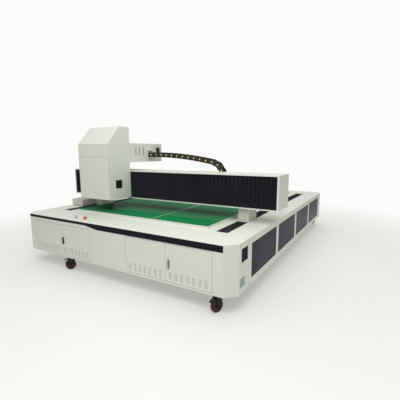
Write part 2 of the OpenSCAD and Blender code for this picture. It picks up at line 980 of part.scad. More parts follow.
// Side view of the head, drawn in by d
module head_side(d) {
    rise = head_h - head_face_h;
    slope_l = sqrt(rise * rise + head_slope * head_slope);
    front_cut = d * (slope_l - head_slope) / rise;
    top_cut = d * (slope_l - rise) / head_slope;
    polygon([
        [head_y0 + d, head_z0 + d],
        [head_y0 + d, head_z0 + head_face_h - front_cut],
        [head_y0 + head_slope + top_cut, head_z1 - d],
        [head_y1 - d, head_z1 - d],
        [head_y1 - d, head_z0 + d],
    ]);
}

module head_housing() {
    lens_open = 240;
    lens_y = head_y0 + head_d / 2;
    inner_w = head_w - 2 * head_wall;
    color(white) {
        difference() {
            translate([head_x0, 0, 0])
                rotate([90, 0, 90])
                    linear_extrude(head_w)
                        head_side(0);
            translate([head_x0 + head_wall, 0, 0])
                rotate([90, 0, 90])
                    linear_extrude(inner_w)
                        head_side(head_wall);
            // Front opening closed by the cover
            slab([head_x0 + head_wall, head_y0 - 1, head_z0 - 1],
                [head_x1 - head_wall, head_y0 + cover_t + cover_gap, head_z0 + cover_h + cover_gap]);
            // Opening for the beam under the lens
            translate([head_x - lens_open / 2, lens_y - lens_open / 2, head_z0 - 1])
                cube([lens_open, lens_open, head_wall + 2]);
            // Opening for the fan
            translate([head_x1 - head_wall - 1, fan_y - fan_s / 2 + 4, fan_z - fan_s / 2 + 4])
                cube([head_wall + 2, fan_s - 8, fan_s - 8]);
        }
        // Upright rail for the focusing slide
        slab([head_x - z_rail_w / 2, head_y1 - head_wall - z_rail_d, head_z0 + z_rail_low],
            [head_x + z_rail_w / 2, head_y1 - head_wall + eps, head_z0 + z_rail_low + z_rail_l]);
    }
}

module head_cover() {
    skin = 2;
    half = head_w / 2 - head_wall - cover_gap;
    color(white)
        difference() {
            slab([head_x - half, head_y0, head_z0], [head_x + half, head_y0 + cover_t, head_z0 + cover_h]);
            slab([head_x - half + skin, head_y0 + skin, head_z0 + skin],
                [head_x + half - skin, head_y0 + cover_t + 1, head_z0 + cover_h - skin]);
        }
}

module laser_box() {
    wall = 3;
    vents = 3;
    vent_l = 110;
    bracket_y = chain_w / 2 + bracket_side;
    color(white) {
        difference() {
            slab([box_x1 - box_w, head_y1, box_z0], [box_x1, box_y1, box_z1]);
            slab([box_x1 - box_w + wall, head_y1 + wall, box_z0 + wall],
                [box_x1 - wall, box_y1 - wall, box_z1 - wall]);
            // Cooling slots beside the head
            for (i = [0 : vents - 1])
                translate([box_x1 - wall - 1, head_y1 + 120 + i * 72, box_z1 - 45 - vent_l])
                    cube([wall + 2, 12, vent_l]);
            // Cable entry behind the connector
            translate([box_x1 - wall - 1, connector_y + 12, connector_z + 14])
                cube([wall + 2, connector_s - 24, connector_h - 40]);
        }
        // Angle that carries the moving end of the chain
        difference() {
            slab([box_x1 - eps, chain_y - bracket_y, chain_z0 - chain_h / 2 - slide_gap - bracket_t],
                [box_x1 + bracket_l, chain_y + bracket_y, chain_z0 + chain_h / 2 + bracket_top]);
            slab([box_x1 + bracket_t, chain_y - bracket_y - 1, chain_z0 - chain_h / 2 - slide_gap],
                [box_x1 + bracket_l + 1, chain_y + bracket_y + 1,
                    chain_z0 + chain_h / 2 + bracket_top - bracket_t]);
        }
    }
}

module box_connector() {
    color(black)
        translate([box_x1, connector_y, connector_z])
            difference() {
                cube([30, connector_s, connector_h]);
                for (z = [22, connector_h - 22])
                    translate([20, -1, z])
                        cube([11, connector_s + 2, 4]);
            }
}

// One chain link: outer cheeks round the near pivot, inner cheeks round the far one, two cross bars
module link() {
    inner = chain_w / 2 - cheek_t - slide_gap;
    bar_l = chain_pitch * 0.3;
    r = chain_h / 2;
    for (s = [0, 1])
        mirror([0, s, 0]) {
            // Outer cheek
            translate([0, chain_w / 2, 0])
                rotate([90, 0, 0])
                    linear_extrude(cheek_t)
                        union() {
                            circle(r = r);
                            translate([0, -r])
                                square([chain_pitch - r - 0.6, chain_h]);
                        }
            // Inner cheek with its pivot
            translate([0, inner, 0])
                rotate([90, 0, 0])
                    linear_extrude(cheek_t)
                        union() {
                            translate([chain_pitch, 0])
                                circle(r = r - 2);
                            translate([r + 1, 2 - r])
                                square([chain_pitch - r - 1, chain_h - 4]);
                        }
            translate([r + 1, inner - cheek_t, 2 - r])
                cube([chain_pitch - 2 * r - 2, cheek_t + slide_gap + eps, chain_h - 4]);
        }
    for (z = [-r, r - cheek_t])
        translate([chain_pitch / 2 - bar_l / 2, -chain_w / 2 + cheek_t / 2, z])
            cube([bar_l, chain_w - cheek_t, cheek_t]);
}

module drag_chain() {
    color(black)
        for (i = [0 : link_n - 1])
            translate([pivot_x(i), chain_y, pivot_z(i)])
                rotate([0, -heading(i), 0])
                    link();
}

// Shelf behind the beam under the lower run of the chain
module chain_tray() {
    depth = chain_w + 16;
    rim = 32;
    end_in = 30;
    x0 = pivot_x(link_n) - chain_h;
    color(white)
        difference() {
            slab([x0, beam_y1, tray_z - tray_t], [beam_in - end_in, beam_y1 + depth, tray_z + rim]);
            slab([x0 - 1, beam_y1 + tray_t, tray_z], [beam_in, beam_y1 + depth - tray_t, tray_z + rim + 1]);
        }
}

module fan_grille() {
    bezel_t = 5;
    depth = 24;
    bore = fan_s - 22;
    slats = 7;
    pitch = (fan_s - 16) / slats;
    color(black)
        translate([head_x1, fan_y, fan_z])
            rotate([0, 90, 0]) {
                difference() {
                    translate([-fan_s / 2, -fan_s / 2, 0])
                        cube([fan_s, fan_s, bezel_t]);
                    for (i = [0 : slats - 1])
                        translate([8 - fan_s / 2 + i * pitch + pitch * 0.2, 8 - fan_s / 2, -1])
                            cube([pitch * 0.6, fan_s - 16, bezel_t + 2]);
                }
                difference() {
                    translate([9 - fan_s / 2, 9 - fan_s / 2, -depth])
                        cube([fan_s - 18, fan_s - 18, depth + eps]);
                    translate([0, 0, -depth - 1])
                        cylinder(d = bore, h = depth + 1);
                }
                // Spider and axle of the fan
                for (a = [0, 90])
                    rotate(a)
                        translate([-bore / 2 - 1, -3, -depth])
                            cube([bore + 2, 6, 4]);
                translate([0, 0, -depth])
                    cylinder(d = 8, h = depth - 3);
            }
}

module fan_rotor() {
    depth = 24;
    blades = 7;
    reach = fan_s / 2 - 14;
    color("#2a2a2e")
        translate([head_x1, fan_y, fan_z])
            rotate([0, 90, 0])
                translate([0, 0, 4.4 - depth])
                    difference() {
                        union() {
                            cylinder(d = 32, h = 14);
                            for (i = [0 : blades - 1])
                                rotate(i * 360 / blades)
                                    translate([12, 0, 7])
                                        rotate([38, 0, 0])
                                            translate([0, -8, -1])
                                                cube([reach - 12, 16, 2]);
                        }
                        translate([0, 0, -1])
                            cylinder(d = 8 + 2 * run_gap, h = 20);
                    }
}

// Scanner block with its lens on the focusing slide
module focus_unit() {
    lens_z = head_z0 + 40;
    lens_l = 66;
    body_z = lens_z + lens_l;
    body_d = 170;
    body_w = 200;
    body_h = 180;
    saddle_w = 90;
    saddle_h = 150;
    saddle_t = 8;
    rail_y0 = head_y1 - head_wall - z_rail_d;
    body_y1 = rail_y0 - saddle_t;
    color("#3d4a66")
        difference() {
            union() {
                slab([head_x - body_w / 2, body_y1 - body_d, body_z],
                    [head_x + body_w / 2, body_y1, body_z + body_h]);
                slab([head_x - saddle_w / 2, body_y1 - eps, body_z],
                    [head_x + saddle_w / 2, rail_y0 + z_rail_d - 6, body_z + saddle_h]);
                translate([head_x, body_y1 - body_d / 2, 0])
                    rotate_extrude()
                        polygon([
                            [0, lens_z], [44, lens_z], [48, lens_z + 6], [48, lens_z + 30],
                            [56, lens_z + 36], [56, body_z + eps], [0, body_z + eps],
                        ]);
            }
            slab([head_x - z_rail_w / 2 - slide_gap, rail_y0 - slide_gap, body_z - 1],
                [head_x + z_rail_w / 2 + slide_gap, head_y1, body_z + body_h + 1]);
        }
}

module caster_plates() {
    color(steel)
        for (p = caster_places)
            translate([p.x, p.y, caster_h - plate_t])
                difference() {
                    translate([-plate_s / 2, -plate_s / 2, 0])
                        cube([plate_s, plate_s, plate_t]);
                    translate([0, 0, -1])
                        cylinder(d = king_d + 2 * run_gap, h = plate_t + 2);
                    for (s = [-1, 1], t = [-1, 1])
                        translate([s * (plate_s / 2 - 12), t * (plate_s / 2 - 12), -1])
                            cylinder(d = 9, h = plate_t + 2);
                }
}

// Puts a caster's own frame in place: swivel on the Z axis, wheel trailing along +X
module at_caster(k) {
    p = caster_places[k - 1];
    translate([p.x, p.y, 0])
        rotate(p.z)
            children();
}

module caster_fork(k) {
    arm_y = wheel_w / 2 + 2;
    axle_z = wheel_d / 2;
    arm_z = axle_z + 22;
    color("#26262a")
        at_caster(k) {
            translate([0, 0, fork_top_z - crown_t])
                cylinder(d = 72, h = crown_t);
            translate([0, 0, fork_top_z - eps])
                cylinder(d = king_d, h = plate_t - 0.4);
            for (s = [0, 1])
                mirror([0, s, 0])
                    translate([0, arm_y + fork_t, 0])
                        rotate([90, 0, 0])
                            linear_extrude(fork_t)
                                polygon([
                                    [-30, fork_top_z], [36, fork_top_z],
                                    [pedal_x + 10, pedal_z + 4], [trail + 22, arm_z],
                                    [trail + 15, axle_z - 15], [trail - 15, axle_z - 15],
                                    [trail - 26, arm_z],
                                ]);
            translate([trail, arm_y + fork_t + 4, axle_z])
                rotate([90, 0, 0])
                    cylinder(d = axle_d, h = 2 * (arm_y + fork_t + 4));
            // Pin of the brake pedal
            translate([pedal_x, arm_y + fork_t, pedal_z])
                rotate([90, 0, 0])
                    cylinder(d = 8, h = 2 * (arm_y + fork_t));
        }
}

module caster_wheel(k) {
    color("#3a2a2a")
        at_caster(k)
            translate([trail, 0, wheel_d / 2])
                rotate([90, 0, 0])
                    difference() {
                        rotate_extrude($fn = 64)
                            polygon([
                                [0, -wheel_w / 2], [22, -wheel_w / 2], [24, -wheel_w / 2 + 5],
                                [wheel_d / 2 - 16, -wheel_w / 2 + 5], [wheel_d / 2 - 12, -wheel_w / 2 + 1],
                                [wheel_d / 2 - 4, -wheel_w / 2 + 1], [wheel_d / 2, -wheel_w / 2 + 6],
                                [wheel_d / 2, wheel_w / 2 - 6], [wheel_d / 2 - 4, wheel_w / 2 - 1],
                                [wheel_d / 2 - 12, wheel_w / 2 - 1], [wheel_d / 2 - 16, wheel_w / 2 - 5],
                                [24, wheel_w / 2 - 5], [22, wheel_w / 2], [0, wheel_w / 2],
                            ]);
                        translate([0, 0, -wheel_w])
                            cylinder(d = axle_d + 2 * run_gap, h = 2 * wheel_w);
                    }
}

// Foot pedal that locks the wheel, turning on the pin across the fork
module caster_pedal(k) {
    half = wheel_w / 2 - 3;
    color(black)
        at_caster(k)
            translate([pedal_x, 0, pedal_z])
                difference() {
                    translate([0, half, 0])
                        rotate([90, 0, 0])
                            linear_extrude(2 * half)
                                polygon([
                                    [-8, -5], [-4, 8], [12, 8], [54, -12],
                                    [62, -26], [56, -28], [46, -16], [8, -7],
                                ]);
                    translate([0, half + 1, 0])
                        rotate([90, 0, 0])
                            cylinder(d = 8 + 2 * run_gap, h = 2 * half + 2);
                }
}

base_frame();
deck();
bed_table();
mat_left();
mat_right();
front_fascia();
front_stripe();
corner_panels();
side_frame(-1);  // side_frame_left
side_frame(1);  // side_frame_right
rear_panel();
side_windows();
display_panel();
vent_grille();
stop_collar();
key_switch();
y_rails();
y_magnet_tracks();
caster_plates();
slot_bellows_front();
slot_bellows_rear();
for (k = [1 : 4]) door_leaf(k);
for (k = [1, 2]) latch(2 * k);
stop_button();
key();
for (k = [1 : 4]) caster_fork(k);
for (k = [1 : 4]) caster_wheel(k);
for (k = [1 : 4]) caster_pedal(k);
gantry_beam();
beam_caps();
gantry_legs();
y_carriages();
cable_box();
chain_tray();
x_rails();
x_magnet_track();
beam_bellows_left();
beam_bellows_right();
drag_chain();
x_carriage();
head_housing();
head_cover();
laser_box();
box_connector();
fan_grille();
fan_rotor();
focus_unit();
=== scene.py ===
"""Looks of a gantry laser engraver for sheet glass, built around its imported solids, in metres."""

import json
import math

import bmesh
import bpy
from mathutils import Matrix, Vector


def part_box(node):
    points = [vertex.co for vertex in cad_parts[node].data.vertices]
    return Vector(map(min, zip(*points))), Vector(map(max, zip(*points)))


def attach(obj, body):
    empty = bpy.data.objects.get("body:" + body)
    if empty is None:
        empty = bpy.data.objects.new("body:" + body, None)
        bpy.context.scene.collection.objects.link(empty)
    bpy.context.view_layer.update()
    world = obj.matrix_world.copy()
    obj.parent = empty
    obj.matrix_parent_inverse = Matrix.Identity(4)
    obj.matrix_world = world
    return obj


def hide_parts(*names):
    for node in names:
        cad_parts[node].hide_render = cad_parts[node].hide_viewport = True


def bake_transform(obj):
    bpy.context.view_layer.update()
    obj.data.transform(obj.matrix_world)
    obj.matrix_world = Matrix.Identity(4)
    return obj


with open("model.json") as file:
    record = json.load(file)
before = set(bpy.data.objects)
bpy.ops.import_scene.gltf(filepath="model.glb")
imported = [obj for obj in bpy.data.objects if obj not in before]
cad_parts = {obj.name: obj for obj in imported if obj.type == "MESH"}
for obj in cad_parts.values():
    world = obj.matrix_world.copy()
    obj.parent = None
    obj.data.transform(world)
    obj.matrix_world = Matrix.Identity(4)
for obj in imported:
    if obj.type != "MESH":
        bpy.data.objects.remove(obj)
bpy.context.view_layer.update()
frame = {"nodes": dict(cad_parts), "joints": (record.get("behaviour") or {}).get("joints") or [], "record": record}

MM = 0.001


def in_mm(line):
    """A line of two-number points given in millimetres, in metres."""
    return [(a * MM, b * MM) for a, b in line]


# Materials

NOISE_DETAIL = 4
NOISE_RANGE = (0.3, 0.7)


class Nodes:
    """A material with a Principled shader, and short calls to add and join nodes."""

    def __init__(self, name):
        self.material = bpy.data.materials.new(name)
        self.material.use_nodes = True
        self.tree = self.material.node_tree
        self.shader = self.tree.nodes["Principled BSDF"]
        self.place = self.tree.nodes.new("ShaderNodeTexCoord").outputs["Object"]

    def set(self, **values):
        for key, value in values.items():
            self.shader.inputs[key.replace("_", " ")].default_value = value

    def join(self, output, socket):
        self.tree.links.new(output, socket)

    def noise(self, scale, stretch=None):
        node = self.tree.nodes.new("ShaderNodeTexNoise")
        node.inputs["Scale"].default_value = scale
        node.inputs["Detail"].default_value = NOISE_DETAIL
        source = self.place
        if stretch:
            mapping = self.tree.nodes.new("ShaderNodeMapping")
            mapping.inputs["Scale"].default_value = stretch
            self.join(source, mapping.inputs["Vector"])
            source = mapping.outputs["Vector"]
        self.join(source, node.inputs["Vector"])
        return node.outputs["Fac"]

    def ramp(self, source, low, high):
        """A colour between low and high, over the range that a noise fills."""
        node = self.tree.nodes.new("ShaderNodeValToRGB")
        stops = node.color_ramp.elements
        stops[0].position, stops[1].position = NOISE_RANGE
        stops[0].color, stops[1].color = (*low, 1), (*high, 1)
        self.join(source, node.inputs["Fac"])
        return node.outputs["Color"]

    def span(self, source, taken, given, kind="LINEAR"):
        """A value carried from the range taken to the range given."""
        node = self.tree.nodes.new("ShaderNodeMapRange")
        node.interpolation_type = kind
        for key, value in zip(("From Min", "From Max", "To Min", "To Max"), (*taken, *given)):
            node.inputs[key].default_value = value
        self.join(source, node.inputs["Value"])
        return node.outputs["Result"]

    def fade(self, near, far):
        """Lets the surface vanish between two distances from its own origin."""
        length = self.tree.nodes.new("ShaderNodeVectorMath")
        length.operation = "LENGTH"
        self.join(self.place, length.inputs[0])
        alpha = self.span(length.outputs["Value"], (near, far), (1, 0), "SMOOTHSTEP")
        self.join(alpha, self.shader.inputs["Alpha"])

    def bump(self, height, strength, distance):
        node = self.tree.nodes.new("ShaderNodeBump")
        node.inputs["Strength"].default_value = strength
        node.inputs["Distance"].default_value = distance
        self.join(height, node.inputs["Height"])
        self.join(node.outputs["Normal"], self.shader.inputs["Normal"])


def shade(color, share):
    """A colour made darker or lighter by a share of itself."""
    return tuple(min(1.0, c * share) for c in color)


def finish_of(name, color, spread, rough, grain, bump=None, cloud=2.2, stretch=None, fade=None,
              **values):
    """A surface whose colour drifts by spread over its length, with a roughness range and a grain."""
    n = Nodes(name)
    drift = n.ramp(n.noise(cloud, stretch), shade(color, 1 - spread), shade(color, 1 + spread))
    n.join(drift, n.shader.inputs["Base Color"])
    fine = n.noise(grain, stretch)
    n.join(n.span(fine, NOISE_RANGE, rough), n.shader.inputs["Roughness"])
    if bump:
        n.bump(fine, *bump)
    if fade:
        n.fade(*fade)
    n.set(**values)
    return n.material


# Strength and depth of the three kinds of relief, and the stretch of a brushed grain
ORANGE_PEEL = (0.05, 0.4 * MM)
MOULDED = (0.12, 0.4 * MM)
WOVEN = (0.35, 0.5 * MM)
BRUSH = (1, 40, 40)

FINISHES = {
    "cover_paint": dict(color=(0.655, 0.675, 0.605), spread=0.02, rough=(0.3, 0.4), grain=420,
                        bump=ORANGE_PEEL, cloud=0.8),
    "frame_paint": dict(color=(0.3, 0.32, 0.33), spread=0.06, rough=(0.45, 0.6), grain=300,
                        bump=ORANGE_PEEL),
    "black_trim": dict(color=(0.012, 0.008, 0.016), spread=0.2, rough=(0.3, 0.4), grain=300,
                       Specular_IOR_Level=0.08),
    "bare_steel": dict(color=(0.56, 0.57, 0.58), spread=0.05, rough=(0.2, 0.34), grain=60,
                       stretch=BRUSH, Metallic=1.0),
    "zinc_steel": dict(color=(0.5, 0.51, 0.52), spread=0.1, rough=(0.3, 0.45), grain=160,
                       cloud=40, Metallic=1.0),
    "mat_green": dict(color=(0.012, 0.175, 0.058), spread=0.12, rough=(0.3, 0.4), grain=120,
                      cloud=1.6, Specular_IOR_Level=0.0, Coat_Weight=0.2, Coat_Roughness=0.06),
    # smoked_pane: the dark tint is the panes' own colour; the wide drift over large patches is painted reflection,
    # lighter patches standing in for reflections on the glass
    "smoked_pane": dict(color=(0.056, 0.05, 0.07), spread=0.35, rough=(0.06, 0.14), grain=90,
                        cloud=2.5, Specular_IOR_Level=0.01),
    "display_black": dict(color=(0.01, 0.009, 0.02), spread=0.2, rough=(0.1, 0.16), grain=120,
                          Specular_IOR_Level=0.01),
    "grille_grey": dict(color=(0.5, 0.53, 0.5), spread=0.04, rough=(0.4, 0.52), grain=500,
                        bump=MOULDED),
    "collar_yellow": dict(color=(0.62, 0.42, 0.03), spread=0.05, rough=(0.35, 0.45), grain=500,
                          bump=MOULDED),
    "switch_grey": dict(color=(0.5, 0.51, 0.5), spread=0.06, rough=(0.25, 0.35), grain=700,
                        Metallic=0.9),
    "magnet_track": dict(color=(0.2, 0.21, 0.23), spread=0.06, rough=(0.3, 0.42), grain=300),
    "bellows_cloth": dict(color=(0.01, 0.009, 0.014), spread=0.25, rough=(0.6, 0.75), grain=1500,
                          bump=WOVEN, cloud=6, Specular_IOR_Level=0.2),
    "anodised": dict(color=(0.42, 0.44, 0.46), spread=0.05, rough=(0.3, 0.42), grain=500,
                     Metallic=0.9),
    "chain_black": dict(color=(0.014, 0.013, 0.015), spread=0.2, rough=(0.36, 0.48), grain=700,
                        bump=MOULDED, cloud=12),
    "caster_black": dict(color=(0.015, 0.013, 0.018), spread=0.2, rough=(0.3, 0.42), grain=400,
                         bump=ORANGE_PEEL, cloud=20, Specular_IOR_Level=0.15),
    "wheel_rubber": dict(color=(0.055, 0.02, 0.02), spread=0.2, rough=(0.5, 0.64), grain=400,
                         bump=MOULDED, cloud=25, Specular_IOR_Level=0.2),
    "stop_red": dict(color=(0.5, 0.012, 0.018), spread=0.06, rough=(0.2, 0.3), grain=500, cloud=30),
    "cable_box_paint": dict(color=(0.6, 0.58, 0.53), spread=0.03, rough=(0.4, 0.5), grain=420,
                            bump=ORANGE_PEEL),
    "pivot_yellow": dict(color=(0.85, 0.66, 0.12), spread=0.08, rough=(0.35, 0.45), grain=500,
                         cloud=20),
    "core_red": dict(color=(0.06, 0.016, 0.014), spread=0.15, rough=(0.35, 0.5), grain=300,
                     bump=MOULDED, cloud=30, Specular_IOR_Level=0.2),
    "screw_steel": dict(color=(0.42, 0.43, 0.43), spread=0.08, rough=(0.25, 0.4), grain=900,
                        cloud=60, Metallic=1.0),
    "gasket_rubber": dict(color=(0.02, 0.02, 0.022), spread=0.15, rough=(0.55, 0.7), grain=500,
                          bump=MOULDED, cloud=9),
    "lens_glass": dict(color=(0.16, 0.24, 0.3), spread=0.1, rough=(0.02, 0.05), grain=200,
                       Coat_Weight=1.0),
    "seam_aluminium": dict(color=(0.72, 0.74, 0.7), spread=0.05, rough=(0.3, 0.42), grain=300,
                           stretch=BRUSH, Metallic=0.6),
    "handle_grey": dict(color=(0.3, 0.31, 0.285), spread=0.06, rough=(0.3, 0.42), grain=500,
                        bump=MOULDED, cloud=30),
}

materials = {name: finish_of(name, **finish) for name, finish in FINISHES.items()}

slot_of = {part["node"]: part["material_slot"] for part in frame["record"]["subparts"]}
for name, cad in frame["nodes"].items():
    key = "cable_box_paint" if name == "cable_box" else slot_of[name]
    cad.data.materials.clear()
    cad.data.materials.append(materials[key])


# Meshes


class Shape:
    """Points and faces gathered for one mesh, each face with the number of its material."""

    def __init__(self):
        self.points, self.faces, self.paints = [], [], []

    def add(self, points, faces, paint=0, move=None):
        start = len(self.points)
        self.points += [move @ Vector(p) if move else Vector(p) for p in points]
        self.faces += [[start + i for i in face] for face in faces]
        self.paints += [paint] * len(faces)

    def add_shape(self, part, move):
        """Adds a moved copy of another shape, with its materials."""
        start = len(self.points)
        self.points += [move @ p for p in part.points]
        self.faces += [[start + i for i in face] for face in part.faces]
        self.paints += part.paints

    def object(self, name, *keys, smooth=None):
        """Makes the mesh, smooth over edges flatter than an angle in degrees."""
        mesh = bpy.data.meshes.new(name)
        mesh.from_pydata([tuple(p) for p in self.points], [], self.faces)
        for key in keys:
            mesh.materials.append(materials[key])
        mesh.polygons.foreach_set("material_index", self.paints)
        work = bmesh.new()
        work.from_mesh(mesh)
        bmesh.ops.recalc_face_normals(work, faces=work.faces)
        work.to_mesh(mesh)
        work.free()
        made = bpy.data.objects.new(name, mesh)
        bpy.context.collection.objects.link(made)
        if smooth:
            mesh.shade_smooth()
            mesh.set_sharp_from_angle(angle=math.radians(smooth))
        return made


def box_faces(low, high):
    """Points and faces of an upright box between two corners."""
    (x0, y0, z0), (x1, y1, z1) = low, high
    points = [(x, y, z) for z in (z0, z1) for y in (y0, y1) for x in (x0, x1)]
    faces = [(0, 2, 3, 1), (4, 5, 7, 6), (0, 1, 5, 4), (2, 6, 7, 3), (0, 4, 6, 2), (1, 3, 7, 5)]
    return points, faces


def turned(profile, sides):
    """A solid turned round Z from (radius, height) points that start and end on the axis."""
    points, faces = [(0, 0, profile[0][1]), (0, 0, profile[-1][1])], []
    rings = profile[1:-1]
    for radius, height in rings:
        for i in range(sides):
            a = 2 * math.pi * i / sides
            points.append((radius * math.cos(a), radius * math.sin(a), height))
    for i in range(sides):
        j = (i + 1) % sides
        faces.append((0, 2 + j, 2 + i))
        for k in range(len(rings) - 1):
            low, high = 2 + k * sides, 2 + (k + 1) * sides
            faces.append((low + i, low + j, high + j, high + i))
        last = 2 + (len(rings) - 1) * sides
        faces.append((last + i, last + j, 1))
    return points, faces


def prism(outline, y0, y1):
    """A plate between two Y values with an outline of (x, z) points."""
    n = len(outline)
    points = [(x, y, z) for y in (y0, y1) for x, z in outline]
    faces = [tuple(range(n)), tuple(reversed(range(n, 2 * n)))]
    faces += [((i + 1) % n, i, i + n, (i + 1) % n + n) for i in range(n)]
    return points, faces


def loop_faces(rounds, n):
    """Faces between sections of n points each, which follow each other round a closed loop."""
    faces = []
    for i in range(rounds):
        j = (i + 1) % rounds
        for k in range(n):
            m = (k + 1) % n
            faces.append((i * n + k, j * n + k, j * n + m, i * n + m))
    return faces


def hoop(profile, sides):
    """A ring turned round Z from a closed line of (radius, height) points."""
    points = []
    for i in range(sides):
        a = 2 * math.pi * i / sides
        points += [(r * math.cos(a), r * math.sin(a), z) for r, z in profile]
    return points, loop_faces(sides, len(profile))


CORNER_TURNS = 5


def framed(place, across, up, size, corner, section):
    """A moulding round a rectangle with round corners; section has (inwards, proud) points."""
    across, up = Vector(across), Vector(up)
    proud = across.cross(up)
    half = Vector((size[0] / 2 - corner, size[1] / 2 - corner))
    points = []
    for quarter, (sx, sy) in enumerate(((1, 1), (-1, 1), (-1, -1), (1, -1))):
        for k in range(CORNER_TURNS + 1):
            a = math.pi / 2 * (quarter + k / CORNER_TURNS)
            for inwards, out in section:
                r = corner - inwards
                u, v = sx * half.x + r * math.cos(a), sy * half.y + r * math.sin(a)
                points.append(Vector(place) + across * u + up * v + proud * out)
    return points, loop_faces(4 * (CORNER_TURNS + 1), len(section))


def facing(place, normal):
    """A move that puts Z along normal, with its origin at place."""
    return Matrix.Translation(place) @ Vector(normal).to_track_quat("Z", "Y").to_matrix().to_4x4()


# Pleated covers

PLEAT_PITCH = 24 * MM
MIN_PLEATS = 2
STEPS_PER_PLEAT = 7
FOLD_SHARPNESS = 0.985
CLOTH = 2 * MM
HEM = 9 * MM
HEM_RISE = 0.6 * MM
LEG_HALF = 59 * MM


def fold(turn):
    """Depth of the cloth, 0 at a crest and 1 in a fold, for a place counted in pleats."""
    wave = math.asin(FOLD_SHARPNESS * math.cos(math.pi * turn)) / math.asin(FOLD_SHARPNESS)
    return (1 - wave) / 2


def pleated(shape, length, width, depth, move):
    """Cloth along +X, folded down from its crests, as wide as Y and with a hem on each edge."""
    pleats = max(MIN_PLEATS, round(length / PLEAT_PITCH))
    steps = pleats * STEPS_PER_PLEAT
    across = [0, HEM, HEM + CLOTH, width / 2, width - HEM - CLOTH, width - HEM, width]
    lift = [0, 0, -HEM_RISE, -HEM_RISE, -HEM_RISE, 0, 0]
    points, faces = [], []
    rows = len(across)
    for under in (0, 1):
        for i in range(steps + 1):
            z = -depth * fold(i / STEPS_PER_PLEAT) - under * CLOTH
            for y, sink in zip(across, lift):
                points.append((length * i / steps, y, z + (0 if under else sink)))
    other = (steps + 1) * rows
    for i in range(steps):
        for j in range(rows - 1):
            a = i * rows + j
            b = a + rows
            faces.append((a, b, b + 1, a + 1))
            faces.append((other + a, other + a + 1, other + b + 1, other + b))
        for j, flip in ((0, False), (rows - 1, True)):
            a = i * rows + j
            b = a + rows
            edge = (a, other + a, other + b, b)
            faces.append(edge[::-1] if flip else edge)
    for i, flip in ((0, True), (steps, False)):
        for j in range(rows - 1):
            a = i * rows + j
            end = (a, a + 1, other + a + 1, other + a)
            faces.append(end if flip else end[::-1])
    shape.add(points, faces, move=move)


def even_blend(piece):
    """Bakes the piece's place into the points of its mesh."""
    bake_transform(piece)


def slot_cover(node):
    """The pair of pleated strips in the travel slots, in front of the legs or behind them."""
    low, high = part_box(node)
    leg_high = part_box("gantry_legs")[1]
    slot_mid = leg_high.x - LEG_HALF
    width = 2 * (high.x - slot_mid)
    turn = Matrix.Rotation(math.pi / 2, 4, "Z")
    shape = Shape()
    for side in (-1, 1):
        place = Matrix.Translation((side * slot_mid + width / 2, low.y, high.z))
        pleated(shape, high.y - low.y, width, high.z - low.z - CLOTH, place @ turn)
    piece = shape.object(node + "_cloth", "bellows_cloth", smooth=50)
    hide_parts(node)
    even_blend(piece)


def beam_cover(node):
    """The pleated strip over the front of the beam, on one side of the head."""
    low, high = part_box(node)
    move = Matrix.Translation(low) @ Matrix.Rotation(math.pi / 2, 4, "X")
    shape = Shape()
    pleated(shape, high.x - low.x, high.z - low.z, high.y - low.y - CLOTH, move)
    piece = shape.object(node + "_cloth", "bellows_cloth", smooth=50)
    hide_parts(node)
    even_blend(piece)


slot_cover("slot_bellows_front")
slot_cover("slot_bellows_rear")
beam_cover("beam_bellows_left")
beam_cover("beam_bellows_right")


# Drag chain: a run of links from the head over a bend to the tray

LINK_PITCH = 87.5 * MM
LINK_H = 64 * MM
LINK_W = 74 * MM
UPPER_LINKS, BEND_LINKS, LOWER_LINKS = 11, 6, 4
LINKS = UPPER_LINKS + BEND_LINKS + LOWER_LINKS
SAG = 10.5
CHEEK = 5 * MM
CHEEK_PLAY = 0.3 * MM
CHEEK_STEP = 2 * MM
INNER_HALF = LINK_W / 2 - CHEEK - CHEEK_PLAY
END_PLAY = 0.6 * MM
END_BEVEL = 3 * MM
WAIST_PLAY = 1 * MM
RIB_SHARES = (0.32, 0.42)
RIB_INSET, RIB_RISE = 5 * MM, 1 * MM
BAR_SHARE = 0.3
ARC_PARTS = 10
PIVOT_HEAD = in_mm([(0, 0), (9, 0), (9, 1.2), (6, 2.2), (0, 2.2)])
PIVOT_SIDES = 20
BRACKET_TO_PIVOT = 16 * MM
PIVOT_OVER_BOX = 96 * MM
PIVOT_TO_WALL = 52 * MM
CABLES = 3
CABLE_R = 7 * MM
CABLE_PITCH = 2.3 * CABLE_R
CABLE_SIDES = 8
LINK_PAINT, PIVOT_PAINT, CABLE_PAINT = range(3)


def heading(i):
    """Slope of a link in degrees, level at the head and level again in the tray."""
    if i < UPPER_LINKS:
        return -SAG * i / (UPPER_LINKS - 1)
    if i < UPPER_LINKS + BEND_LINKS:
        return -SAG - (180 - SAG) * (i - UPPER_LINKS + 0.5) / BEND_LINKS
    return -180


def follow(i):
    """A share for the pivot before link i: 1 at the head, half in the bend, 0 at the tray."""
    if i <= UPPER_LINKS:
        return 1 - 0.5 * i / UPPER_LINKS
    if i <= UPPER_LINKS + BEND_LINKS:
        return 0.5
    return 0.5 * (LINKS - i) / LOWER_LINKS


def round_end(x, r, start, stop):
    """Points of an arc about (x, 0), from one angle to another in degrees."""
    steps = [math.radians(start + (stop - start) * k / ARC_PARTS) for k in range(ARC_PARTS + 1)]
    return [(x + r * math.cos(a), r * math.sin(a)) for a in steps]


